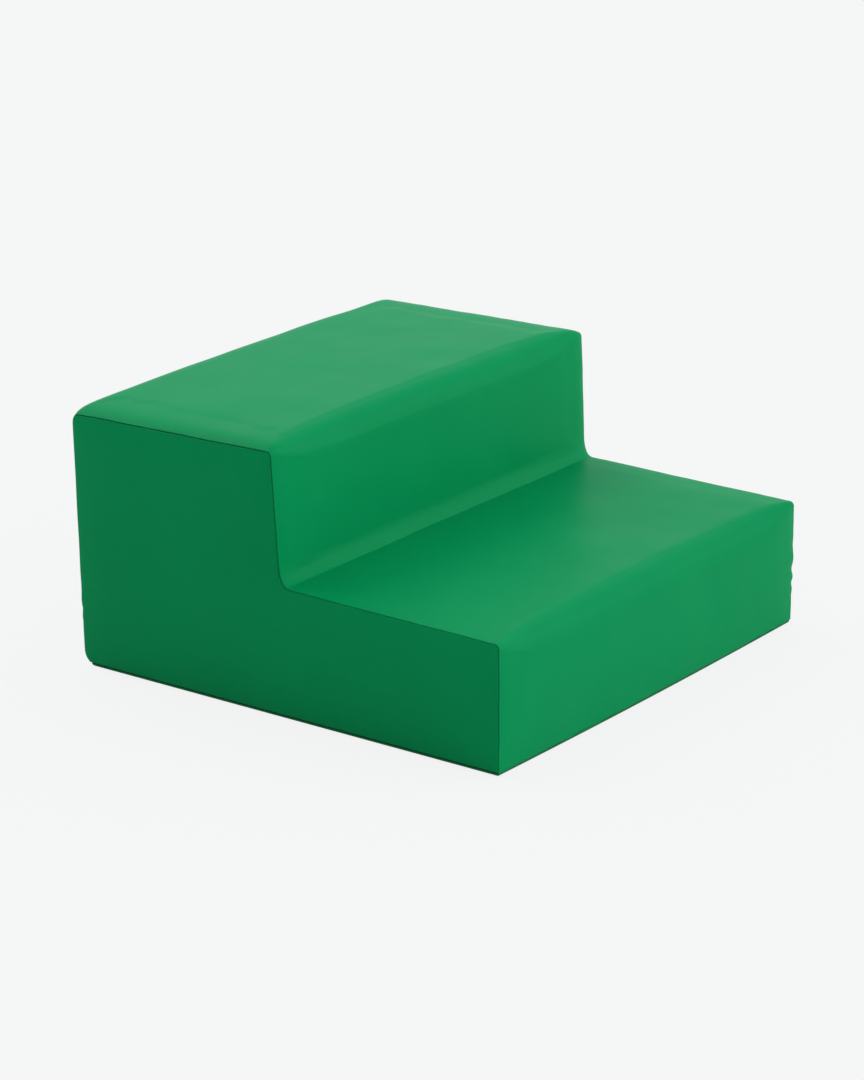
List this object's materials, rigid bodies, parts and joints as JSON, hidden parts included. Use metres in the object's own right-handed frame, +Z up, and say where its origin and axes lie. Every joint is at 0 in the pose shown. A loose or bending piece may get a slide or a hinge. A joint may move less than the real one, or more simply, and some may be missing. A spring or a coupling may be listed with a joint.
{
  "type": "soft play foam climber",
  "caption": "Low step-shaped foam climber for small children: a deep lower step and a half-depth upper step in one padded, sewn vinyl cover that closes with a zip.",
  "frame": {"origin": "on the floor, under the middle of the climber", "axes": "+X across the steps, along the zip; -Y the way the steps face, +Y the back; +Z up"},
  "size_m": [0.5926, 0.6169, 0.3238],
  "materials": {
    "green_vinyl": "semi-gloss coated vinyl with a fine leather grain",
    "cream_foam": "open-cell polyurethane foam",
    "dark_base_fabric": "matt woven non-slip base fabric",
    "green_zip_tape": "woven polyester tape",
    "green_nylon_coil": "smooth nylon monofilament",
    "zip_metal": "nickel-plated die casting"
  },
  "bodies": {
    "root": {"left_side_panel": "green_vinyl", "right_side_panel": "green_vinyl", "wrap_panel": "green_vinyl", "back_lower_strip": "green_vinyl", "foam_lower_block": "cream_foam", "foam_upper_block": "cream_foam", "base_panel": "dark_base_fabric", "zip_tape_upper": "green_zip_tape", "zip_tape_lower": "green_zip_tape", "zip_coil_upper": "green_nylon_coil", "zip_coil_lower": "green_nylon_coil", "zip_top_stop_upper": "zip_metal", "zip_top_stop_lower": "zip_metal", "zip_bottom_stop": "zip_metal"},
    "zip_slider": {"zip_slider": "zip_metal"},
    "zip_pull": {"zip_pull": "zip_metal"}
  },
  "joints": [
    {"name": "zip_slide", "type": "slide", "parent": "root", "child": "zip_slider", "axis": [1, 0, 0], "range_m": [0, 0.524]},
    {"name": "pull_swing", "type": "hinge", "parent": "zip_slider", "child": "zip_pull", "pos_m": [-0.2622, 0.30625, 0.04], "axis": [0, 0, 1], "range_deg": [0, 170]}
  ]
}
